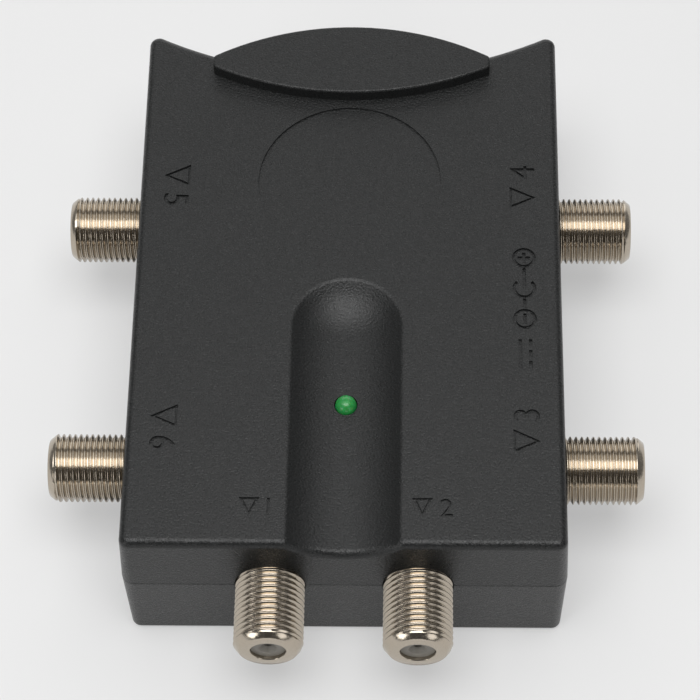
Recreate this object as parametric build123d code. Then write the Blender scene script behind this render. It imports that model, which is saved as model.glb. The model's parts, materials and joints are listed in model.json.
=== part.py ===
from build123d import *
import math
import os

# A television signal amplifier: a two-part moulded case round one circuit board, with six
# threaded coaxial sockets, a power inlet and a green lamp. Millimetres. +X is to the right of
# someone facing the front sockets, +Y runs to the rear, +Z is up. The origin is the centre of
# the flat underside.

# Case
case_width = 59.5
case_length = 85.7
case_height = 24.4
wall = 1.8
roof = 2.0
floor = 2.0
corner_radius = 1.3
top_edge_radius = 1.1
bottom_edge_radius = 0.75
upper_draft = 2.15
lower_draft = 1.7
parting_step = 0.02
parting_gap = 0.15
parting_gap_depth = 0.3
rear_hollow_depth = 7.6
port_height_share = 0.5656

# Tongue and groove at the parting line
tongue_height = 1.4
tongue_thickness = 0.8
tongue_gap = 0.1

# Raised pad at the rear
pad_width = 40.2
pad_length = 12.0
pad_front_bow = 4.7
pad_tip_thickness = 1.9
pad_height = 2.0
pad_rear_setback = 0.6
pad_edge_radius = 0.35

# Round recess in the top
recess_radius = 13.0
recess_depth = 0.25
recess_place_share = 0.6852

# Scoop that runs out through the front wall
scoop_half_width = 7.67
scoop_depth = 2.65
scoop_end_share = 0.4015

# Threaded coaxial sockets
thread_radius = 4.715
front_reach = 9.98
side_front_reach = 10.76
side_rear_reach = 10.23
socket_hole_clearance = 0.13
land_gap = 0.1
neck_share = 0.9
nose_share = 0.83
nose_length = 1.0
mouth_radius = 2.4
block_width = 11.0
block_depth = 8.5
block_above_axis = 5.5
block_wall_gap = 0.48
leg_radius = 0.6
flange_step = 1.0
flange_thickness = 2.0
insulator_recess = 0.5
insulator_fit = 0.03
conductor_hole_radius = 0.65
contact_radius = 1.0
contact_bore_radius = 0.55
contact_length = 6.0
contact_slot = 0.25
contact_fit = 0.05
strip_width = 0.8
strip_thickness = 0.3

# Where the sockets stand, as shares of the case's half width or length
front_socket_share = 0.3356
side_front_socket_share = 0.2049
side_rear_socket_share = 0.6698
jack_place_share = 0.4378

# Circuit board
board_drop = 6.5
board_thickness = 1.6
board_gap = 0.7
board_hole_clearance = 0.15
solder_tail_share = 0.35

# Power inlet
jack_width = 9.0
jack_depth = 13.0
jack_above_axis = 4.5
jack_nose_radius = 4.4
jack_hole_clearance = 0.15
jack_nose_recess = 0.25
jack_bore_radius = 3.15
jack_bore_depth = 9.5
jack_pin_radius = 1.0
jack_pin_recess = 0.9
jack_shank_radius = 0.75
jack_lead_in = 0.35
spring_width = 1.8
spring_thickness = 0.3
spring_reach = 8.0
spring_lift = 0.9
spring_grip = 1.2
spring_slot_clearance = 0.15
spring_side_clearance = 0.3
terminal_gap = 0.12
terminal_lap = 0.8
terminal_offset = 0.7

# Lamp
lamp_radius = 1.5
lamp_height = 5.3
lamp_flange_radius = 1.9
lamp_flange_height = 1.0
lamp_proud = 1.2
lamp_dome_share = 0.95
lamp_hole_clearance = 0.1
lamp_place_share = 0.2703
lead_radius = 0.25
lead_spacing = 2.54

# Case screws
screw_radius = 1.45
screw_head_radius = 2.8
screw_head_height = 1.9
screw_head_recess = 0.5
screw_head_clearance = 0.3
screw_grip = 7.0
screw_tip = 1.0
screw_fit = 0.05
screw_pass_clearance = 0.25
boss_radius = 3.0
post_wall = 1.1

# Parts on the board, with their places as shares of the case's half width and length
capacitor_radius = 4.0
capacitor_height = 10.5
capacitor_groove = 0.4
core_length = 6.0
core_width = 7.0
core_height = 4.2
core_hole_radius = 1.0
wire_radius = 0.25
wire_spread = 0.35
wire_overhang = 0.6
chip_length = 5.0
chip_width = 4.0
chip_height = 1.5
chip_side_pin_count = 4
regulator_width = 6.1
regulator_length = 6.5
regulator_height = 2.3
regulator_pin_count = 3
pin_pitch = 1.27
pin_width = 0.4
pin_thickness = 0.2
pin_reach = 1.1
choke_side = 7.0
choke_height = 4.5
choke_corner = 1.2
choke_groove = 0.3
small_length = 2.0
small_width = 1.25
small_height = 0.6
small_spacing = 3.2
core_place_shares = [(-0.40, 0.32), (-0.17, 0.486), (-0.36, 0.76), (0.34, 0.77)]
chip_place_share = (-0.10, 0.367)
regulator_place_share = (0.22, 0.355)
choke_place_share = (0.24, 0.53)
input_capacitor_place_share = (0.27, 0.64)
output_capacitor_place_share = (-0.03, 0.78)

# One overrun for every cut that has to pass right through
overrun = 3.0

# Worked out from the sizes above
port_height = case_height * port_height_share
upper_height = case_height - port_height
upper_flare = upper_height * math.tan(math.radians(upper_draft))
lower_flare = port_height * math.tan(math.radians(lower_draft))
half_width = case_width / 2
front = -case_length / 2
waist = case_length / 2 - rear_hollow_depth
hollow_radius = (half_width**2 + rear_hollow_depth**2) / (2 * rear_hollow_depth)
hollow_centre = waist + hollow_radius
pad_rear = case_length / 2 - pad_rear_setback
pad_rear_bow = pad_length - pad_front_bow - pad_tip_thickness
bulge_radius = ((pad_width / 2) ** 2 + pad_rear_bow**2) / (2 * pad_rear_bow)
bulge_centre = pad_rear - bulge_radius
scoop_radius = (scoop_half_width**2 + scoop_depth**2) / (2 * scoop_depth)
scoop_axis = case_height + scoop_radius - scoop_depth
scoop_floor = case_height - scoop_depth
board_top = port_height - board_drop
board_under = board_top - board_thickness
solder_tail = solder_tail_share * (board_under - floor)
block_face = -(wall + parting_step + block_wall_gap)
block_rear = block_face - block_depth
lower_inset = parting_step - upper_flare
screw_seat = screw_head_recess + screw_head_height
post_radius = screw_head_radius + screw_head_clearance + post_wall
tail_end = board_under - port_height - solder_tail
jack_rear = block_face - jack_depth
spring_root = block_face - wall - spring_reach
spring_rest = -jack_bore_radius - spring_thickness

# Each socket's name, place on its wall, direction outwards in degrees and reach past the wall
side_x = half_width + upper_flare
front_y = front - upper_flare
side_front_y = front + side_front_socket_share * case_length
side_rear_y = front + side_rear_socket_share * case_length
front_x = front_socket_share * half_width
sockets = [
    ("front_left", -front_x, front_y, -90, front_reach),
    ("front_right", front_x, front_y, -90, front_reach),
    ("left_front", -side_x, side_front_y, 180, side_front_reach),
    ("left_rear", -side_x, side_rear_y, 180, side_rear_reach),
    ("right_front", side_x, side_front_y, 0, side_front_reach),
    ("right_rear", side_x, side_rear_y, 0, side_rear_reach),
]
jack_y = front + jack_place_share * case_length
lamp_y = front + lamp_place_share * case_length


def at_wall(x, y, heading):
    """Place on a wall at the height of the sockets, with X pointing outwards."""
    return Pos(x, y, port_height) * Rot(0, 0, heading)


def rod(radius, start, end, across=0, height=0):
    """Round bar along X from start to end."""
    bar = Cylinder(radius, end - start, align=(Align.CENTER, Align.CENTER, Align.MIN))
    return Pos(start, across, height) * Rot(0, 90, 0) * bar


def column(radius, x, y, low, high):
    """Upright round bar from low to high."""
    bar = Cylinder(radius, high - low, align=(Align.CENTER, Align.CENTER, Align.MIN))
    return Pos(x, y, low) * bar


def block(x_low, x_high, width, low, high, across=0):
    """Rectangular block from x_low to x_high, centred on its own line along X."""
    centre = Pos((x_low + x_high) / 2, across, (low + high) / 2)
    return centre * Box(x_high - x_low, width, high - low)


def strip(points, radius, width, thickness):
    """Flat metal strip bent along points in the XZ plane."""
    path = FilletPolyline(*[(x, 0, z) for x, z in points], radius=radius)
    section = Plane(origin=path @ 0, x_dir=(0, 1, 0), z_dir=path % 0) * Rectangle(width, thickness)
    return sweep(section, path=path)


# Case


def case_plan(inset):
    """Outline of the case at its top face, drawn in by inset, without the bulge at the rear."""
    length = hollow_centre - front - inset
    blank = Pos(0, front + inset + length / 2) * Rectangle(2 * (half_width - inset), length)
    plan = blank - Pos(0, hollow_centre) * Circle(hollow_radius + inset)
    rounding = corner_radius - inset
    if rounding > 0:
        plan = fillet(plan.vertices(), rounding)
    return plan


def drafted(low_plan, high_plan, low, high):
    """Straight-sided block between two outlines at two heights."""
    return loft([Pos(0, 0, low) * low_plan, Pos(0, 0, high) * high_plan], ruled=True)


def case_body(low, high, low_inset, high_inset):
    """Drafted block of the case's outline."""
    return drafted(case_plan(low_inset), case_plan(high_inset), low, high)


def case_bulge(low, high, low_inset, high_inset, rounding=0):
    """Drafted bulge of the rear wall under the pad: a slice of a wide cone with a rounded foot."""
    low_disc = Pos(0, bulge_centre) * Circle(bulge_radius - low_inset)
    high_disc = Pos(0, bulge_centre) * Circle(bulge_radius - high_inset)
    cone = drafted(low_disc, high_disc, low, high)
    if rounding > 0:
        cone = fillet(cone.faces().sort_by(Axis.Z)[0].edges(), rounding)
    band = Pos(0, pad_rear, (low + high) / 2) * Box(pad_width, 2 * pad_length, high - low)
    return cone & band


def case_block(low, high, low_inset, high_inset):
    """Whole outline of the case, drafted."""
    return case_body(low, high, low_inset, high_inset) + case_bulge(low, high, low_inset, high_inset)


def prism(low, high, inset):
    """Whole outline of the case with upright walls."""
    return case_block(low, high, inset, inset)


def pad_plan():
    """Lens between two shallow arcs, with blunt rounded tips."""
    half = pad_width / 2
    rear_corner = pad_rear - pad_rear_bow
    front_corner = rear_corner - pad_tip_thickness
    front_arc = ThreePointArc((-half, front_corner), (0, front_corner - pad_front_bow), (half, front_corner))
    right_tip = Line((half, front_corner), (half, rear_corner))
    rear_arc = ThreePointArc((half, rear_corner), (0, pad_rear), (-half, rear_corner))
    left_tip = Line((-half, rear_corner), (-half, front_corner))
    lens = make_face([front_arc, right_tip, rear_arc, left_tip])
    return fillet(lens.vertices(), pad_tip_thickness / 3)


def scoop(grow):
    """Round-bottomed scoop with a ball end, grown outwards by grow."""
    end = front + scoop_end_share * case_length
    radius = scoop_radius + grow
    length = end - front + upper_flare + overrun
    run = Pos(0, end, scoop_axis) * Rot(90, 0, 0) * Cylinder(
        radius, length, align=(Align.CENTER, Align.CENTER, Align.MIN)
    )
    return run + Pos(0, end, scoop_axis) * Sphere(radius)


def screw_places():
    """Front pair between the front wall and the side sockets, rear pair behind the rear ones."""
    x = half_width - wall - parting_step - post_radius / 2 - boss_radius / 2
    block_front = side_front_y - block_width / 2
    block_back = side_rear_y + block_width / 2
    inner_hollow = hollow_centre - math.sqrt((hollow_radius + wall) ** 2 - x**2)
    front_place = (front + wall + block_front) / 2
    rear_place = (block_back + inner_hollow) / 2
    return [(sign * x, y) for sign in (-1, 1) for y in (front_place, rear_place)]


def wall_holes():
    """Round holes for the six sockets and the power inlet, centred on the parting line."""
    holes = []
    for _, x, y, heading, _ in sockets:
        holes.append(at_wall(x, y, heading) * rod(thread_radius + socket_hole_clearance, block_face, overrun))
    jack_hole = rod(jack_nose_radius + jack_hole_clearance, block_face, overrun)
    holes.append(at_wall(side_x, jack_y, 0) * jack_hole)
    return holes


def top_shell():
    """Upper case half with pad, recess, scoop, groove and four screw bosses."""
    body = case_body(port_height, case_height, -upper_flare, 0) - scoop(0)
    lip = body.faces().sort_by(Axis.Y)[0].edges().filter_by(GeomType.LINE, reverse=True)
    rim = body.faces().sort_by(Axis.Z)[-1].outer_wire().edges()
    shell = fillet(rim + lip, top_edge_radius)
    shell += case_bulge(port_height, case_height, -upper_flare, 0)
    pad = extrude(Pos(0, 0, case_height - top_edge_radius) * pad_plan(), amount=top_edge_radius + pad_height)
    pad = fillet(pad.faces().sort_by(Axis.Z)[-1].edges(), pad_edge_radius)
    shell += pad
    ceiling = case_height - roof
    cavity = case_block(port_height, ceiling, wall - upper_flare, wall)
    shell -= cavity - scoop(wall)
    groove_height = tongue_height + tongue_gap
    groove_inset = wall - upper_flare - tongue_thickness - tongue_gap
    shell -= prism(port_height, port_height + groove_height, groove_inset)
    line = Pos(0, 0, port_height + parting_gap / 2) * Box(2 * case_width, 2 * case_length, parting_gap)
    shell -= line - prism(port_height, port_height + parting_gap, parting_gap_depth - upper_flare)
    shell -= column(recess_radius, 0, front + recess_place_share * case_length, case_height - recess_depth,
                    case_height + overrun)
    for x, y in screw_places():
        shell += column(boss_radius, x, y, board_top, ceiling)
        shell -= column(screw_radius + screw_fit, x, y, board_top, board_top + screw_grip + screw_tip)
    for hole in wall_holes():
        shell -= hole
    shell -= column(lamp_radius + lamp_hole_clearance, 0, lamp_y, board_top, case_height)
    return shell


def bottom_shell():
    """Lower case half with tongue, screw posts and recessed screw holes."""
    foot_inset = lower_inset + lower_flare
    body = case_body(0, port_height, foot_inset, lower_inset)
    foot = body.faces().sort_by(Axis.Z)[0].outer_wire().edges()
    shell = fillet(foot, bottom_edge_radius)
    shell += case_bulge(0, port_height, foot_inset, lower_inset, bottom_edge_radius)
    shell -= case_block(floor, port_height, foot_inset + wall, lower_inset + wall)
    tongue_inset = wall - upper_flare - tongue_thickness
    tongue = prism(port_height - wall, port_height + tongue_height, tongue_inset)
    tongue -= prism(port_height - wall, port_height + tongue_height, tongue_inset + tongue_thickness)
    shell += tongue
    for x, y in screw_places():
        shell += column(post_radius, x, y, floor, board_under)
        shell -= column(screw_radius + screw_pass_clearance, x, y, 0, board_under)
        shell -= column(screw_head_radius + screw_head_clearance, x, y, 0, screw_seat)
    for hole in wall_holes():
        shell -= hole
    return shell


def case_screws():
    """Four pan-head screws that clamp the lower half and the board to the upper half."""
    tip = board_top + screw_grip
    screws = []
    for x, y in screw_places():
        head = column(screw_head_radius, 0, 0, screw_head_recess, screw_seat)
        head = fillet(head.faces().sort_by(Axis.Z)[0].edges(), screw_head_height / 2)
        shank = column(screw_radius, 0, 0, screw_seat, tip)
        shank = chamfer(shank.faces().sort_by(Axis.Z)[-1].edges(), screw_radius / 2)
        screws.append(Pos(x, y) * (head + shank))
    return screws


# Circuit board


def leg_places():
    """Four legs under a socket's block, in the block's own frame."""
    edge = 2 * leg_radius
    across = block_width / 2 - edge
    return [(x, y) for x in (block_face - edge, block_rear + edge) for y in (-across, across)]


def tail_place():
    """Where a strip goes down through the board behind a socket's block."""
    return block_rear - 2 * strip_thickness


def circuit_board():
    """Board with holes for screws, socket legs, contact tails, inlet terminals and lamp leads."""
    inset = lower_inset + wall + board_gap
    board = extrude(Pos(0, 0, board_under) * case_plan(inset), amount=board_thickness)
    hole_radius = leg_radius + board_hole_clearance
    tail_radius = strip_width / 2 + board_hole_clearance
    below = board_under - port_height
    above = board_top - port_height
    for _, x, y, heading, _ in sockets:
        place = at_wall(x, y, heading)
        for leg_x, leg_y in leg_places():
            board -= place * column(hole_radius, leg_x, leg_y, below, above)
        board -= place * column(tail_radius, tail_place(), 0, below, above)
    place = at_wall(side_x, jack_y, 0)
    for x, width in jack_tails():
        board -= place * column(width / 2 + board_hole_clearance, x, 0, below, above)
    lead_hole_radius = lead_radius + board_hole_clearance
    for side in (-1, 1):
        board -= column(lead_hole_radius, side * lead_spacing / 2, lamp_y, board_under, board_top)
    for x, y in screw_places():
        board -= column(screw_radius + screw_pass_clearance, x, y, board_under, board_top)
    return board


# Coaxial sockets, each drawn with X pointing outwards from the wall


def barrel(reach):
    """Plated barrel and square body block with four legs. The thread itself is left plain."""
    neck = neck_share * thread_radius
    nose = nose_share * thread_radius
    outline = Polyline(
        (block_face, 0),
        (block_face, neck),
        (land_gap, neck),
        (land_gap, thread_radius),
        (reach - nose_length, thread_radius),
        (reach, nose),
        (reach, 0),
        close=True,
    )
    body = revolve(Plane.XZ * make_face(outline), axis=Axis.X)
    low = board_top - port_height
    case = block(block_rear, block_face, block_width, low, block_above_axis)
    case = chamfer(case.edges().filter_by(Axis.X).sort_by(Axis.Z)[-2:], block_width - 2 * neck)
    body += case
    body -= rod(mouth_radius, block_rear, reach)
    body -= rod(mouth_radius + flange_step, block_rear, block_rear + flange_thickness)
    for x, y in leg_places():
        body += column(leg_radius, x, y, tail_end, low)
    return body


def insulator(reach):
    """Moulded insulator, put in from behind up to its flange, with the conductor's hole."""
    face = reach - insulator_recess
    sleeve = rod(mouth_radius - insulator_fit, block_rear, face)
    sleeve += rod(mouth_radius + flange_step - insulator_fit, block_rear, block_rear + flange_thickness)
    sleeve -= rod(conductor_hole_radius, block_rear, face)
    chamber = contact_radius + contact_fit
    sleeve -= rod(chamber, block_rear, block_rear + flange_thickness + contact_length)
    lead_in = Pos(face, 0, 0) * Rot(0, -90, 0) * Cone(
        2 * conductor_hole_radius, conductor_hole_radius, conductor_hole_radius,
        align=(Align.CENTER, Align.CENTER, Align.MIN),
    )
    return sleeve - lead_in


def contact():
    """Slotted spring tube that grips the conductor, with a strip down to the board."""
    start = block_rear + contact_fit
    end = block_rear + flange_thickness + contact_length - contact_fit
    tube = rod(contact_radius, start, end) - rod(contact_bore_radius, start + flange_thickness, end)
    for angle in (0, 90):
        slot = block(start + flange_thickness, end, contact_slot, -contact_radius, contact_radius)
        tube -= Rot(angle, 0, 0) * slot
    points = [(start + contact_radius, 0), (tail_place(), 0), (tail_place(), tail_end)]
    return tube + strip(points, 1.5 * strip_thickness, strip_width, strip_thickness)


# Power inlet, drawn with X pointing outwards from the wall


def jack_tails():
    """Place and width of the three strips that go down through the board under the inlet."""
    return [
        (jack_rear - strip_thickness / 2, strip_width),
        (spring_root + spring_grip / 2, spring_width),
        (spring_root + spring_reach + terminal_offset, strip_width),
    ]


def jack_housing():
    """Moulded inlet body: round nose in the wall hole, plug bore, and a channel for the spring."""
    low = board_top - port_height
    body = block(jack_rear, block_face, jack_width, low, jack_above_axis)
    body = fillet(body.edges().filter_by(Axis.X).sort_by(Axis.Z)[-2:], jack_width / 8)
    body += rod(jack_nose_radius, block_face, -jack_nose_recess)
    bore_end = -jack_nose_recess - jack_bore_depth
    body -= rod(jack_bore_radius, bore_end, 0)
    mouth = body.faces().sort_by(Axis.X)[-1].edges().sort_by(SortBy.RADIUS)[0]
    body = chamfer(mouth, jack_lead_in)
    body -= rod(jack_shank_radius, jack_rear, bore_end)
    slot_half = spring_thickness / 2 + spring_slot_clearance
    channel_width = spring_width + 2 * spring_side_clearance
    grip_end = spring_root + spring_grip
    slot_start = spring_root - spring_slot_clearance
    body -= block(slot_start, grip_end, channel_width, spring_rest - slot_half, spring_rest + slot_half)
    channel_end = spring_root + spring_reach + 2 * terminal_offset
    body -= block(grip_end, channel_end, channel_width, low, spring_rest + spring_lift)
    x, width = jack_tails()[1]
    half = strip_thickness / 2 + contact_fit
    body -= block(x - half, x + half, width + 2 * contact_fit, low, spring_rest)
    return body


def jack_centre_pin():
    """Shouldered pin riveted through the housing's rear wall, with a strip down to the board."""
    shoulder = -jack_nose_recess - jack_bore_depth
    pin = rod(jack_pin_radius, shoulder, -jack_nose_recess - jack_pin_recess)
    pin = fillet(pin.faces().sort_by(Axis.X)[-1].edges(), jack_pin_radius / 2)
    pin += rod(jack_shank_radius, jack_rear, shoulder)
    x, width = jack_tails()[0]
    half = strip_thickness / 2
    head = rod(2 * jack_shank_radius, x - half, x + half)
    tail = block(x - half, x + half, width, tail_end, 0)
    return pin + head + tail


def jack_sleeve_spring():
    """Leaf under the bore with a raised bow that presses on the plug's sleeve."""
    bow_shares = [(0, 0), (0.35, 0), (0.6, 1), (0.8, 0), (1, 0)]
    points = [
        (spring_root + along * spring_reach, spring_rest + up * spring_lift) for along, up in bow_shares
    ]
    return strip(points, spring_reach / 10, spring_width, spring_thickness)


def jack_sleeve_terminal():
    """Upright strip that holds the spring's root and goes down through the board."""
    x, width = jack_tails()[1]
    half = strip_thickness / 2
    top = spring_rest - spring_thickness / 2 - terminal_gap
    return block(x - half, x + half, width, tail_end, top)


def jack_switch_terminal():
    """Strip folded over the spring's tip, which the spring leaves when a plug goes in."""
    x, width = jack_tails()[2]
    tab = spring_rest + spring_thickness / 2 + terminal_gap + strip_thickness / 2
    tip = spring_root + spring_reach
    points = [(tip - terminal_lap, tab), (x, tab), (x, tail_end)]
    return strip(points, 1.5 * strip_thickness, width, strip_thickness)


# Lamp


def led_lens():
    """Domed body of the lamp with its flange."""
    top = scoop_floor + lamp_proud
    base = top - lamp_height
    body = column(lamp_radius, 0, lamp_y, base, top)
    body = fillet(body.faces().sort_by(Axis.Z)[-1].edges(), lamp_radius * lamp_dome_share)
    return body + column(lamp_flange_radius, 0, lamp_y, base, base + lamp_flange_height)


def led_leads():
    """Two leads from the lamp down through the board."""
    base = scoop_floor + lamp_proud - lamp_height
    low = board_under - solder_tail
    return [column(lead_radius, side * lead_spacing / 2, lamp_y, low, base) for side in (-1, 1)]


# Parts on the board, each drawn on the board's top at its own centre


def on_board(place_share, shape):
    """Put a part on the board's top at a share of the half width and of the length."""
    x, y = place_share
    return Pos(x * half_width, front + y * case_length, board_top) * shape


def pin_row(count, edge, height):
    """Row of bent pins that leave a body's edge along +X and stand on the board."""
    knee = edge + pin_reach / 2
    foot = pin_thickness / 2
    points = [(edge - foot, height), (knee, height), (knee, foot), (edge + pin_reach, foot)]
    pin = strip(points, pin_thickness, pin_width, pin_thickness)
    return [Pos(0, (i - (count - 1) / 2) * pin_pitch) * pin for i in range(count)]


def amplifier_chip():
    """Moulded chip with a row of pins down each side."""
    body = block(-chip_width / 2, chip_width / 2, chip_length, pin_thickness, chip_height)
    body = chamfer(body.faces().sort_by(Axis.Z)[-1].edges(), pin_thickness)
    for angle in (0, 180):
        for pin in pin_row(chip_side_pin_count, chip_width / 2, chip_height / 2):
            body += Rot(0, 0, angle) * pin
    return body


def voltage_regulator():
    """Moulded regulator on its metal tab, with a row of pins along one side."""
    half = regulator_width / 2
    tab = block(-half - pin_reach, half, regulator_length - 2 * pin_width, 0, pin_thickness)
    body = tab + block(-half, half, regulator_length, pin_thickness, regulator_height)
    for pin in pin_row(regulator_pin_count, half, regulator_height / 2):
        body += pin
    return body


def choke():
    """Square moulded choke with cut corners and the round groove of its drum."""
    half = choke_side / 2
    body = block(-half, half, choke_side, 0, choke_height)
    body = chamfer(body.edges().filter_by(Axis.Z), choke_corner)
    drum = half - choke_corner
    groove = column(drum, 0, 0, choke_height - choke_corner, choke_height)
    groove -= column(drum - choke_groove, 0, 0, choke_height - choke_corner, choke_height)
    return body - groove


def capacitor():
    """Aluminium can with a rolled groove above its base and a rounded top rim."""
    body = column(capacitor_radius, 0, 0, 0, capacitor_height)
    body = fillet(body.faces().sort_by(Axis.Z)[-1].edges(), capacitor_groove)
    body = chamfer(body.faces().sort_by(Axis.Z)[0].edges(), capacitor_groove)
    ring = Torus(capacitor_radius, capacitor_groove)
    return body - Pos(0, 0, capacitor_radius / 2) * ring


def ferrite_core():
    """Two-hole ferrite core with rounded sides."""
    half = core_length / 2
    body = block(-half, half, core_width, 0, core_height)
    body = fillet(body.edges().filter_by(Axis.X), core_height / 3)
    for side in (-1, 1):
        body -= rod(core_hole_radius, -half, half, side * core_width / 4, core_height / 2)
    return body


def core_winding():
    """Two wires through both holes of a core, one above the other."""
    end = core_length / 2 + wire_overhang
    wires = []
    for side in (-1, 1):
        across = core_width / 4 + side * wire_spread
        height = core_height / 2 + side * wire_spread
        path = FilletPolyline(
            (-end, -across, 0),
            (-end, -across, height),
            (end, -across, height),
            (end, across, height),
            (-end, across, height),
            (-end, across, 0),
            radius=wire_overhang / 2,
        )
        wires.append(sweep(Plane(origin=path @ 0, z_dir=path % 0) * Circle(wire_radius), path=path))
    return wires


def chip_components():
    """Two small chip parts behind each socket's contact, all alike."""
    low = board_top - port_height
    x = block_rear - small_spacing
    small = block(x - small_length / 2, x + small_length / 2, small_width, low, low + small_height)
    places = [at_wall(x, y, heading) for _, x, y, heading, _ in sockets]
    return [place * Pos(0, side * small_spacing / 2) * small for place in places for side in (-1, 1)]


def main():
    """Build every piece and write one file for each."""
    pieces = {
        "top_shell": top_shell(),
        "bottom_shell": bottom_shell(),
        "case_screws": case_screws(),
        "circuit_board": circuit_board(),
        "led_lens": led_lens(),
        "led_leads": led_leads(),
        "amplifier_chip": on_board(chip_place_share, amplifier_chip()),
        "voltage_regulator": on_board(regulator_place_share, voltage_regulator()),
        "supply_choke": on_board(choke_place_share, choke()),
        "input_capacitor": on_board(input_capacitor_place_share, capacitor()),
        "output_capacitor": on_board(output_capacitor_place_share, capacitor()),
        "chip_components": chip_components(),
    }
    for number, place_share in enumerate(core_place_shares, start=1):
        pieces[f"ferrite_core_{number}"] = on_board(place_share, ferrite_core())
        pieces[f"core_winding_{number}"] = [on_board(place_share, wire) for wire in core_winding()]
    for name, x, y, heading, reach in sockets:
        place = at_wall(x, y, heading)
        pieces["barrel_" + name] = place * barrel(reach)
        pieces["insulator_" + name] = place * insulator(reach)
        pieces["contact_" + name] = place * contact()
    place = at_wall(side_x, jack_y, 0)
    pieces["jack_housing"] = place * jack_housing()
    pieces["jack_centre_pin"] = place * jack_centre_pin()
    pieces["jack_sleeve_spring"] = place * jack_sleeve_spring()
    pieces["jack_sleeve_terminal"] = place * jack_sleeve_terminal()
    pieces["jack_switch_terminal"] = place * jack_switch_terminal()
    os.makedirs("parts", exist_ok=True)
    for name, piece in pieces.items():
        shapes = piece if isinstance(piece, list) else [piece]
        solids = [solid for shape in shapes for solid in shape.solids()]
        export_step(Compound(children=solids), f"parts/{name}.step")


main()
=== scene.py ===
import json
import math

import bmesh
import bpy
from mathutils import Matrix, Vector


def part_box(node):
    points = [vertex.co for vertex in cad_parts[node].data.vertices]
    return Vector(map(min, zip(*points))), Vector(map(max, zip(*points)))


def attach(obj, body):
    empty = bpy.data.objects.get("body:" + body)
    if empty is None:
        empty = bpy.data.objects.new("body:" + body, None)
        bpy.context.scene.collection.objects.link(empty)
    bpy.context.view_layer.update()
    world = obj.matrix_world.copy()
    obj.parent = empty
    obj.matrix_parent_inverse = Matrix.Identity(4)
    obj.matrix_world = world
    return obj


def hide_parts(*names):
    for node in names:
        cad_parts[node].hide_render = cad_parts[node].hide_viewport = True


# A television signal amplifier in a charcoal moulded case, with six threaded coaxial sockets, a
# green lamp and a power inlet, seen from above its front. The scene is in metres. The sizes listed
# below, the grain of the finishes and the drawing of marks and threads are in millimetres.

MM = 0.001

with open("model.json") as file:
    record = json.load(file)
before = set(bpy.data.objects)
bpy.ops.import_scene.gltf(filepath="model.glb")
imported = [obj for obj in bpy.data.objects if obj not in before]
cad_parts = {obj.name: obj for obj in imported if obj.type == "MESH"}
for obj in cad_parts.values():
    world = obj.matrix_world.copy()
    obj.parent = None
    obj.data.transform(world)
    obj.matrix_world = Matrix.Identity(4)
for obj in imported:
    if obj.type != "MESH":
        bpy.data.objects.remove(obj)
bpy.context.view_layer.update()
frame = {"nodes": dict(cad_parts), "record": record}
nodes = frame["nodes"]

# Sizes of what is made here, in millimetres. The thread is the standard 3/8-32 one.
THREAD_PITCH = 25.4 / 32
THREAD_RADIUS = 4.715
THREAD_ROOT_RADIUS = 4.24
THREAD_COLUMNS = 72
THREAD_END = 0.5
RUN_OUT_START = 0.75
RUN_OUT_LENGTH = 0.45
NOSE_RADIUS = 3.91
NOSE_LENGTH = 1.0
NOSE_EDGE = 0.06
MOUTH_RADIUS = 2.4
MOUTH_BEVEL = 0.08
BLOCK_DEPTH = 8.5
CUT_ABOVE_BLOCK = 0.2
PAD_HEIGHT = 2.0
MARK_DEPTH = 0.35
MARK_OVERRUN = 1.0
POINTER_LINE = 0.4
FRONT_MARK_HEIGHT = 2.8
SIDE_MARK_HEIGHT = 3.7
INLET_MARK_HEIGHT = 3.9
SCREW_HEAD_RADIUS = 2.8
SCREW_CROSS_LENGTH = 3.0
SCREW_CROSS_WIDTH = 0.75
SCREW_CROSS_DEPTH = 1.1

# Height of a digit in Blender's own font, as a share of the font's size, and the straight steps in a
# round band of a mark
DIGIT_HEIGHT_SHARE = 0.73
BAND_STEPS = 40
# Points nearer than these are one, in metres for a CAD mesh and in millimetres for a digit
MESH_SEAM = 1e-7
DIGIT_SEAM = 1e-4
# Edges that turn by more than this stay sharp, in degrees: the thread's flanks need the larger angle
SHARP_ANGLE = 35
THREAD_SHARP_ANGLE = 42


# Materials


def linear(colour):
    """Linear colour of an sRGB hex value."""
    parts = [int(colour[i : i + 2], 16) / 255 for i in (1, 3, 5)]
    return [c / 12.92 if c <= 0.04045 else ((c + 0.055) / 1.055) ** 2.4 for c in parts] + [1.0]


def add(tree, kind, inputs=None, **settings):
    """Add a node, make its settings, and set or link its inputs."""
    node = tree.nodes.new("ShaderNode" + kind)
    for name, value in settings.items():
        setattr(node, name, value)
    for name, value in (inputs or {}).items():
        if isinstance(value, bpy.types.NodeSocket):
            tree.links.new(value, node.inputs[name])
        else:
            node.inputs[name].default_value = value
    return node


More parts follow.
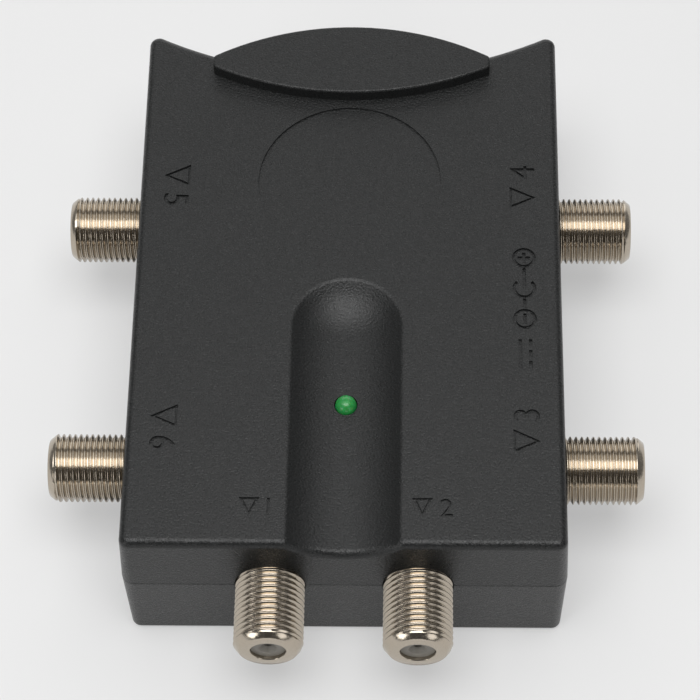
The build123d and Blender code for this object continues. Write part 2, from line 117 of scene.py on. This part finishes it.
def material(name, dark, light, roughness, grain, depth, stretch=(1, 1, 1), **sockets):
    """Finish with one grain, its size and depth in millimetres, in its colour, gloss and bump."""
    made = bpy.data.materials.new(name)
    made.use_nodes = True
    tree = made.node_tree
    tree.nodes.clear()
    place = add(tree, "TexCoord")
    spread = add(tree, "Mapping", {"Vector": place.outputs["Object"], "Scale": [s / MM for s in stretch]})
    noise = add(tree, "TexNoise", {"Vector": spread.outputs[0], "Scale": 1 / grain,
                                   "Detail": 3.0, "Roughness": 0.6})
    colour = add(tree, "Mix", {"Factor": noise.outputs["Fac"]}, data_type="RGBA")
    colour.inputs["A"].default_value = linear(dark)
    colour.inputs["B"].default_value = linear(light)
    # Most of the noise lies between 0.3 and 0.7
    gloss = add(tree, "MapRange", {"Value": noise.outputs["Fac"], "From Min": 0.3, "From Max": 0.7,
                                   "To Min": roughness[0], "To Max": roughness[1]})
    bump = add(tree, "Bump", {"Height": noise.outputs["Fac"], "Distance": depth * MM, "Strength": 1.0})
    shader = add(tree, "BsdfPrincipled", {"Roughness": gloss.outputs[0], "Normal": bump.outputs[0]})
    tree.links.new(colour.outputs["Result"], shader.inputs["Base Color"])
    for socket, value in sockets.items():
        shader.inputs[socket.replace("_", " ")].default_value = value
    add(tree, "OutputMaterial", {"Surface": shader.outputs[0]})
    return made


# ABS moulded in a spark-eroded tool: charcoal, satin, with a fine even grain that breaks up the gloss.
# The real grain is about 0.15 mm and shallower; it is drawn at 0.28 mm so that it shows.
abs_spark_eroded = material("abs_spark_eroded", "#131414", "#1C1D1D", (0.22, 0.38), 0.28, 0.09, IOR=1.44)
# Bright nickel plate on turned brass: warm silver, sharp highlights, faint turning lines.
nickel_plated_turned = material("nickel_plated_turned", "#A89E90", "#C4BAAB", (0.14, 0.26), 0.25, 0.004,
                                Metallic=1.0)
# Acetal, moulded: pale grey and slightly waxy.
acetal_moulded = material("acetal_moulded", "#77736C", "#8B877F", (0.35, 0.5), 0.6, 0.01, IOR=1.48)
# Phosphor bronze, stamped and rolled: yellow-brown metal with rolling lines.
bronze_rolled = material("bronze_rolled", "#9A7A4B", "#B4935F", (0.25, 0.4), 0.2, 0.004, (1, 1, 0.2),
                         Metallic=1.0)
# Tinted epoxy, cast: clear green, with one soft highlight over a cloudy inside.
epoxy_tinted_cast = material("epoxy_tinted_cast", "#197833", "#35A050", (0.2, 0.28), 0.9, 0.002,
                             IOR=1.54, Subsurface_Weight=0.5, Subsurface_Scale=0.6 * MM)
# Tinned copper wire: dull silver with a soft sheen.
wire_tinned = material("wire_tinned", "#9C9C98", "#B8B8B3", (0.3, 0.45), 0.3, 0.006, (1, 1, 0.2),
                       Metallic=1.0)
# Zinc-plated steel, cold-headed: grey-silver, slightly cloudy.
steel_zinc_plated = material("steel_zinc_plated", "#8D8F90", "#ABADAE", (0.28, 0.45), 0.4, 0.006,
                             Metallic=1.0)
# Glass-epoxy laminate under a brushed-on green solder mask: glossy, with the weave showing faintly.
laminate_masked = material("laminate_masked", "#0F4A26", "#176334", (0.18, 0.3), 0.5, 0.01, (1, 0.4, 1),
                           IOR=1.5)
# Epoxy moulding compound: black, finely sandy.
epoxy_compound = material("epoxy_compound", "#141415", "#232324", (0.5, 0.65), 0.15, 0.01, IOR=1.55)
# Ferrite, pressed and sintered: dark grey ceramic with a fine open grain.
ferrite_sintered = material("ferrite_sintered", "#1E1D1D", "#343332", (0.6, 0.8), 0.2, 0.02, IOR=1.7)
# Aluminium can, deep-drawn: bright grey with lines along the draw.
aluminium_drawn = material("aluminium_drawn", "#A5A7A9", "#C0C2C4", (0.2, 0.35), 0.2, 0.004, (1, 1, 0.1),
                           Metallic=1.0)
# Fired alumina with a tan glaze: small ceramic chips.
alumina_fired = material("alumina_fired", "#7C6748", "#97815D", (0.35, 0.5), 0.2, 0.008, IOR=1.6)
# Enamelled copper wire: red-brown under a clear lacquer.
copper_enamelled = material("copper_enamelled", "#7A3516", "#A04C22", (0.2, 0.3), 0.3, 0.004, (1, 0.3, 1),
                            Metallic=1.0, Coat_Weight=0.5)
# Polyester moulded in a polished tool: black with a low gloss.
polyester_moulded = material("polyester_moulded", "#101011", "#1A1A1B", (0.3, 0.42), 0.4, 0.006, IOR=1.55)
# Nickel-flashed brass, stamped: pale warm metal with rolling lines.
brass_flashed = material("brass_flashed", "#A79C7E", "#C0B596", (0.22, 0.36), 0.2, 0.004, (0.2, 1, 1),
                         Metallic=1.0)

finishes = {
    "case_plastic": abs_spark_eroded,
    "screw_steel": steel_zinc_plated,
    "board_laminate": laminate_masked,
    "lamp_resin": epoxy_tinted_cast,
    "tinned_wire": wire_tinned,
    "chip_resin": epoxy_compound,
    "choke_ferrite": ferrite_sintered,
    "capacitor_can": aluminium_drawn,
    "chip_ceramic": alumina_fired,
    "core_ferrite": ferrite_sintered,
    "winding_copper": copper_enamelled,
    "barrel_nickel": nickel_plated_turned,
    "socket_insulator": acetal_moulded,
    "contact_bronze": bronze_rolled,
    "inlet_plastic": polyester_moulded,
    "inlet_brass": brass_flashed,
}
slot_of = {piece["node"]: piece["material_slot"] for piece in frame["record"]["subparts"]}
for name, node in nodes.items():
    node.data.materials.clear()
    node.data.materials.append(finishes[slot_of[name]])


# Meshes


def in_scene(name, data):
    """New object with its data, linked into the scene."""
    made = bpy.data.objects.new(name, data)
    bpy.context.scene.collection.objects.link(made)
    return made


def evaluated_mesh(carrier):
    """New mesh of an object with its modifiers applied."""
    return bpy.data.meshes.new_from_object(carrier.evaluated_get(bpy.context.evaluated_depsgraph_get()))


def welded(node):
    """Editable copy of a CAD node's mesh with its seams closed."""
    shape = bmesh.new()
    shape.from_mesh(nodes[node].data)
    bmesh.ops.remove_doubles(shape, verts=shape.verts, dist=MESH_SEAM)
    return shape


def place_for(node, mesh, sharp=SHARP_ANGLE):
    """Put a mesh in the place of a CAD node, shaded smooth except at its sharp edges."""
    if "custom_normal" in mesh.attributes:
        mesh.attributes.remove(mesh.attributes["custom_normal"])
    mesh.shade_smooth()
    mesh.set_sharp_from_angle(angle=math.radians(sharp))
    mesh.materials.clear()
    mesh.materials.append(finishes[slot_of[node]])
    piece = in_scene(node + "_dressed", mesh)
    flat = piece.modifiers.new("flat_faces_stay_flat", "WEIGHTED_NORMAL")
    flat.keep_sharp = True
    flat.weight = 100
    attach(piece, "amplifier")
    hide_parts(node)


def cut(node, cutter):
    """Mesh of a CAD node with the cutter's solids taken away."""
    body = bpy.data.meshes.new(node)
    shape = welded(node)
    shape.to_mesh(body)
    shape.free()
    tool = bpy.data.meshes.new("cutter")
    bmesh.ops.recalc_face_normals(cutter, faces=cutter.faces)
    cutter.to_mesh(tool)
    cutter.free()
    pair = [in_scene(mesh.name, mesh) for mesh in (body, tool)]
    boolean = pair[0].modifiers.new("cut", "BOOLEAN")
    boolean.operation = "DIFFERENCE"
    boolean.solver = "EXACT"
    boolean.use_self = True
    boolean.object = pair[1]
    result = evaluated_mesh(pair[0])
    for one in pair:
        bpy.data.objects.remove(one)
    return result


def prism(shape, outline, low, high):
    """Add an upright prism to a shape."""
    rings = [[shape.verts.new((x, y, z)) for x, y in outline] for z in (low, high)]
    shape.faces.new(rings[0][::-1])
    shape.faces.new(rings[1])
    for i in range(len(outline)):
        j = (i + 1) % len(outline)
        shape.faces.new((rings[0][i], rings[0][j], rings[1][j], rings[1][i]))


# Sunken marks on the top: a pointer and a plain number at each socket, and the signs for direct
# current and for a positive centre at the power inlet. Each is drawn in millimetres, read along X.


def box_outline(x_low, x_high, y_low, y_high):
    """Corners of an upright rectangle."""
    return [(x_low, y_low), (x_high, y_low), (x_high, y_high), (x_low, y_high)]


def cross_outline(x, y, reach, half):
    """Corners of an upright cross about a point, with four arms of one length and half width."""
    arm = [(reach, -half), (reach, half), (half, half)]
    corners = []
    for a, b in ((1, 0), (0, 1), (-1, 0), (0, -1)):
        corners += [(x + (a * u - b * v), y + (b * u + a * v)) for u, v in arm]
    return corners


def stroke(shape, outline):
    """Add a filled outline of a mark, from its depth up to above the face."""
    prism(shape, outline, -MARK_DEPTH, MARK_OVERRUN)


def frame_stroke(shape, outer, inner):
    """Add the part of a mark between two outlines with as many corners."""
    levels = (-MARK_DEPTH, MARK_OVERRUN)
    rings = [[shape.verts.new((x, y, z)) for x, y in outline] for outline in (outer, inner) for z in levels]
    outer_low, outer_high, inner_low, inner_high = rings
    around = [outer_low, outer_high, inner_high, inner_low]
    for near, far in zip(around, around[1:] + around[:1]):
        for i in range(len(outer)):
            j = (i + 1) % len(outer)
            shape.faces.new((near[i], near[j], far[j], far[i]))


def band(shape, x, radius, width, start=0.0, turn=1.0):
    """Add a round band about (x, 0), or a part of it, with its start and turn as shares of a circle."""
    whole = turn == 1.0
    sections = []
    for i in range(BAND_STEPS if whole else BAND_STEPS + 1):
        angle = 2 * math.pi * (start + turn * i / BAND_STEPS)
        corners = [(radius, -MARK_DEPTH), (radius, MARK_OVERRUN),
                   (radius - width, MARK_OVERRUN), (radius - width, -MARK_DEPTH)]
        across, along = math.cos(angle), math.sin(angle)
        sections.append([shape.verts.new((x + r * across, r * along, z)) for r, z in corners])
    for i in range(BAND_STEPS):
        near, far = sections[i], sections[(i + 1) % len(sections)]
        for k in range(4):
            shape.faces.new((near[k], far[k], far[(k + 1) % 4], near[(k + 1) % 4]))
    if not whole:
        shape.faces.new(sections[0])
        shape.faces.new(sections[-1][::-1])


def digit(shape, number, left, height):
    """Add a number in a plain letter form, with its left edge at left."""
    curve = bpy.data.curves.new("digit", "FONT")
    curve.body = str(number)
    curve.size = height / DIGIT_HEIGHT_SHARE
    curve.extrude = (MARK_OVERRUN + MARK_DEPTH) / 2
    carrier = in_scene("digit", curve)
    mesh = evaluated_mesh(carrier)
    bpy.data.objects.remove(carrier)
    xs = [v.co.x for v in mesh.vertices]
    ys = [v.co.y for v in mesh.vertices]
    middle = (MARK_OVERRUN - MARK_DEPTH) / 2
    mesh.transform(Matrix.Translation((left - min(xs), -(min(ys) + max(ys)) / 2, middle)))
    shape.from_mesh(mesh)
    bmesh.ops.remove_doubles(shape, verts=shape.verts, dist=DIGIT_SEAM)


def socket_mark(number, height):
    """An open pointer towards the socket, which lies below the line, and the socket's number."""
    shape = bmesh.new()
    half = height / 2
    corners = [(-height, half), (-half, -half), (0, half)]
    side, edge, tip = 1.5 * POINTER_LINE, 0.8 * POINTER_LINE, 1.7 * POINTER_LINE
    inner = [(-height + side, half - edge), (-half, -half + tip), (-side, half - edge)]
    frame_stroke(shape, corners, inner)
    digit(shape, number, 0.35 * height, height)
    return shape


def inlet_mark(height):
    """The bar over three dashes of direct current, then minus ring, centre contact and plus ring."""
    shape = bmesh.new()
    line = 0.12 * height
    step = height / 2
    radius = 0.85 * step
    reach = 0.45 * step
    stroke(shape, box_outline(-5 * step, -2.6 * step, line, 2 * line))
    for i in range(3):
        left = -5 * step + 0.9 * step * i
        stroke(shape, box_outline(left, left + 0.6 * step, -2 * line, -line))
    minus, contact, plus = -0.9 * step, 1.7 * step, 4.3 * step
    band(shape, minus, radius, line)
    stroke(shape, box_outline(minus - reach, minus + reach, -line / 2, line / 2))
    band(shape, plus, radius, line)
    stroke(shape, cross_outline(plus, 0, reach, line / 2))
    band(shape, contact, radius, line, 0.12, 0.76)
    for left, right in ((-0.02 * step, 0.82 * step), (contact, 3.42 * step)):
        stroke(shape, box_outline(left, right, -line / 2, line / 2))
    return shape


def add_mark(cutter, mark, x, y, turn):
    """Lay a mark on the top face at a place, turned by an angle in degrees."""
    mark.transform(Matrix.Translation((x, y, top_face / MM)) @ Matrix.Rotation(math.radians(turn), 4, "Z"))
    mark.transform(Matrix.Scale(MM, 4))
    mesh = bpy.data.meshes.new("mark")
    mark.to_mesh(mesh)
    mark.free()
    cutter.from_mesh(mesh)


# The top face lies one pad height under the pad's top, which is the highest point
top_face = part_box("top_shell")[1].z - PAD_HEIGHT * MM
cutter = bmesh.new()
# Each mark with its place on the face and its turn
for mark, x, y, turn in [
    (socket_mark(1, FRONT_MARK_HEIGHT), -11.2, -37.0, 0),
    (socket_mark(2, FRONT_MARK_HEIGHT), 11.9, -37.0, 0),
    (socket_mark(3, SIDE_MARK_HEIGHT), 24.6, -24.9, 90),
    (inlet_mark(INLET_MARK_HEIGHT), 24.6, -5.5, 90),
    (socket_mark(4, SIDE_MARK_HEIGHT), 24.6, 15.0, 90),
    (socket_mark(5, SIDE_MARK_HEIGHT), -24.6, 15.0, -90),
    (socket_mark(6, SIDE_MARK_HEIGHT), -24.6, -24.9, -90),
]:
    add_mark(cutter, mark, x, y, turn)
place_for("top_shell", cut("top_shell", cutter))

# Cross recess in the head of each case screw, which faces down. The heads fill the corners of the
# box round all four screws.
cutter = bmesh.new()
low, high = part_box("case_screws")
head = SCREW_HEAD_RADIUS * MM
half_length, half_width = SCREW_CROSS_LENGTH / 2 * MM, SCREW_CROSS_WIDTH / 2 * MM
for x in (low.x + head, high.x - head):
    for y in (low.y + head, high.y - head):
        cross = cross_outline(x, y, half_length, half_width)
        prism(cutter, cross, low.z - MM, low.z + SCREW_CROSS_DEPTH * MM)
place_for("case_screws", cut("case_screws", cutter))


# Barrels with their real thread


def thread_profile():
    """Stations across one turn, as shares of the pitch, with how deep each lies in the groove."""
    rising = [(0.06, 1.0), (0.12, 0.93), (0.40, 0.07), (0.46, 0.0)]
    return rising + [(1 - share, depth) for share, depth in rising[::-1]]


def envelope(inwards):
    """Largest radius at a distance in from the barrel's face: a conical nose, then the thread."""
    return NOSE_RADIUS + (THREAD_RADIUS - NOSE_RADIUS) * min(1.0, inwards / NOSE_LENGTH)


def thread_depth(inwards):
    """How deep the groove is at a distance in from the face: it runs out before the nose."""
    share = min(1.0, max(0.0, (inwards - RUN_OUT_START) / RUN_OUT_LENGTH))
    return (THREAD_RADIUS - THREAD_ROOT_RADIUS) * share * share * (3 - 2 * share)


def barrel_tube(length):
    """Threaded tube, drawn in millimetres with its face at X 0 and the rest on the side of -X."""
    columns = THREAD_COLUMNS
    verts, faces, known = [], [], {}

    def vertex(x, radius, column):
        key = (round(x, 5), round(radius, 5), column % columns)
        if key not in known:
            angle = 2 * math.pi * key[2] / columns
            known[key] = len(verts)
            verts.append((x, radius * math.cos(angle), radius * math.sin(angle)))
        return known[key]

    def face(corners):
        corners = list(dict.fromkeys(corners))
        if len(corners) > 2:
            faces.append(corners)

    inner, outer = -length, -THREAD_END
    profile = thread_profile()
    turns = math.ceil((outer - inner) / THREAD_PITCH) + 2

    def on_thread(step, station):
        step += columns * (station // len(profile))
        share, depth = profile[station % len(profile)]
        # The helix starts two turns below the inner end and is cut off flat there
        x = inner + THREAD_PITCH * (step / columns + share - 2)
        if x <= inner:
            return vertex(inner, THREAD_ROOT_RADIUS, step)
        if x >= outer:
            return vertex(outer, envelope(-outer), step)
        return vertex(x, envelope(-x) - depth * thread_depth(-x), step)

    for step in range(columns * (turns + 1)):
        for station in range(len(profile)):
            face([on_thread(step, station), on_thread(step + 1, station),
                  on_thread(step + 1, station + 1), on_thread(step, station + 1)])
    # From the thread's end over the nose and through the mouth to the inner end
    ends = [
        (outer, envelope(-outer)),
        (-NOSE_EDGE, envelope(NOSE_EDGE)),
        (0, NOSE_RADIUS - NOSE_EDGE),
        (0, MOUTH_RADIUS + MOUTH_BEVEL),
        (-MOUTH_BEVEL, MOUTH_RADIUS),
        (inner, MOUTH_RADIUS),
        (inner, THREAD_ROOT_RADIUS),
    ]
    for (xa, ra), (xb, rb) in zip(ends, ends[1:]):
        for column in range(columns):
            corners = [(xa, ra, column), (xa, ra, column + 1), (xb, rb, column + 1), (xb, rb, column)]
            face([vertex(*corner) for corner in corners])
    mesh = bpy.data.meshes.new("tube")
    mesh.from_pydata(verts, [], faces)
    return mesh


def barrel(node):
    """Dress a socket's barrel with its thread, on the block and legs of the CAD node."""
    low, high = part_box(node)
    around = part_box(node.replace("barrel", "insulator"))
    centre = (around[0] + around[1]) / 2
    heading = {"front": -90, "left": 180, "right": 0}[node.split("_")[1]]
    turn = Matrix.Rotation(math.radians(heading), 4, "Z")
    outwards = turn.to_3x3() @ Vector((1, 0, 0))
    reach = max(outwards.dot(low), outwards.dot(high))
    root = min(outwards.dot(low), outwards.dot(high))
    face_point = centre + outwards * (reach - outwards.dot(centre))
    cut_at = root + (BLOCK_DEPTH + CUT_ABOVE_BLOCK) * MM
    shape = welded(node)
    everything = shape.verts[:] + shape.edges[:] + shape.faces[:]
    cut_point = face_point + outwards * (cut_at - reach)
    found = bmesh.ops.bisect_plane(shape, geom=everything, plane_co=cut_point, plane_no=outwards,
                                   clear_outer=True)
    rim = [e for e in found["geom_cut"] if isinstance(e, bmesh.types.BMEdge)]
    bmesh.ops.triangle_fill(shape, edges=rim, use_beauty=True)
    tube = barrel_tube((reach - cut_at) / MM)
    tube.transform(Matrix.Translation(face_point) @ turn @ Matrix.Scale(MM, 4))
    shape.from_mesh(tube)
    bmesh.ops.recalc_face_normals(shape, faces=shape.faces)
    mesh = bpy.data.meshes.new(node)
    shape.to_mesh(mesh)
    shape.free()
    place_for(node, mesh, THREAD_SHARP_ANGLE)


for name in sorted(nodes):
    if name.startswith("barrel_"):
        barrel(name)


# Floor, light and camera

# Seamless backdrop paper: matt and pale. It is lifted towards white for the eye and in gloss, without
# more light on the object, and keeps the object's shadow.
FLOOR_LIFT = 0.37
FLOOR_REACH = 4
paper = bpy.data.materials.new("paper_backdrop")
paper.use_nodes = True
tree = paper.node_tree
tree.nodes.clear()
rays = add(tree, "LightPath")
seen = rays.outputs["Is Camera Ray"]
for ray in ("Is Glossy Ray", "Is Transmission Ray"):
    seen = add(tree, "Math", {0: seen, 1: rays.outputs[ray]}, operation="MAXIMUM").outputs[0]
lift = add(tree, "Math", {0: seen, 1: FLOOR_LIFT}, operation="MULTIPLY")
shader = add(tree, "BsdfPrincipled", {
    "Base Color": linear("#B0B0B0"),
    "Roughness": 0.9,
    "Specular IOR Level": 0.2,
    "Emission Color": linear("#FFFFFF"),
    "Emission Strength": lift.outputs[0],
})
add(tree, "OutputMaterial", {"Surface": shader.outputs[0]})
floor_mesh = bpy.data.meshes.new("floor")
corners = box_outline(-FLOOR_REACH, FLOOR_REACH, -FLOOR_REACH, FLOOR_REACH)
floor_mesh.from_pydata([(x, y, 0) for x, y in corners], [], [(0, 1, 2, 3)])
floor_mesh.materials.append(paper)
floor = in_scene("floor", floor_mesh)

world = bpy.data.worlds.new("studio")
bpy.context.scene.world = world
world.use_nodes = True
tree = world.node_tree
tree.nodes.clear()
# A dim room, a little lighter behind the object than in front of it
place = add(tree, "TexCoord")
along = add(tree, "VectorMath", {0: place.outputs["Generated"], 1: (0.0, 1.0, 0.0)}, operation="DOT_PRODUCT")
level = add(tree, "MapRange", {"Value": along.outputs["Value"], "From Min": -1.0, "From Max": 1.0,
                               "To Min": 0.05, "To Max": 0.3})
back = add(tree, "Background", {"Color": linear("#FFFFFF"), "Strength": level.outputs[0]})
add(tree, "OutputWorld", {"Surface": back.outputs[0]})


def lamp(name, place, target, size, power):
    """Add a soft box at a place, turned to a target, with its width and depth in metres, in watts."""
    light = bpy.data.lights.new(name, "AREA")
    light.shape = "RECTANGLE"
    light.size, light.size_y = size
    light.energy = power
    one = in_scene(name, light)
    one.location = place
    one.rotation_euler = (Vector(target) - Vector(place)).to_track_quat("-Z", "Y").to_euler()


# A wide soft box overhead, with dimmer ones behind and to the left of it, a bright wall of two boxes
# at the rear, one at each front corner and a small low one in front. Most of the room in front of the
# object and beside it stays dark, as the metal's dark patches show.
lamp("overhead", (0.0, -0.14, 0.8), (0, -0.14, 0), (0.7, 0.42), 4.6)
lamp("overhead_rear", (0.0, 0.29, 0.8), (0, 0.29, 0), (1.2, 0.4), 1.45)
lamp("overhead_left", (-0.65, -0.05, 0.8), (-0.65, -0.05, 0), (0.4, 0.5), 0.6)
lamp("rear_wall_low", (0.0, 1.2, 0.26), (0, 0, 0), (1.3, 0.5), 2.4)
lamp("rear_wall_high", (0.0, 1.1, 0.7), (0, 0, 0), (1.3, 0.4), 1.9)
lamp("front_left", (-0.85, -0.85, 0.45), (0, 0, 0), (0.5, 0.5), 2.7)
lamp("front_right", (0.77, -0.92, 0.45), (0, 0, 0), (0.5, 0.5), 1.3)
lamp("front_low", (0.0, -1.2, 0.1), (0, 0, 0), (0.6, 0.2), 0.9)

# The camera stands in front and above, and looks down at the top, as the photograph does. Its place is
# in millimetres. Its yaw is from the Y axis to the right, its pitch down from the level and its roll
# about its own axis, in degrees.
CAMERA_PLACE = (9.421, -224.973, 366.202)
CAMERA_YAW, CAMERA_PITCH, CAMERA_ROLL = -2.405, 58.103, -1.791
yaw, pitch, roll = (math.radians(angle) for angle in (CAMERA_YAW, CAMERA_PITCH, CAMERA_ROLL))
ahead = Vector((math.sin(yaw) * math.cos(pitch), math.cos(yaw) * math.cos(pitch), -math.sin(pitch)))
right = ahead.cross(Vector((0, 0, 1))).normalized()
up = right.cross(ahead)
right, up = math.cos(roll) * right + math.sin(roll) * up, math.cos(roll) * up - math.sin(roll) * right
view = bpy.data.cameras.new("camera")
view.sensor_fit = "HORIZONTAL"
view.sensor_width = 36
view.lens = 150.69
view.clip_start = 0.01
view.clip_end = 50
camera = in_scene("camera", view)
axes = Matrix((right, up, -ahead)).transposed().to_4x4()
camera.matrix_world = Matrix.Translation(Vector(CAMERA_PLACE) * MM) @ axes
bpy.context.scene.camera = camera
bpy.context.scene.view_settings.view_transform = "Standard"
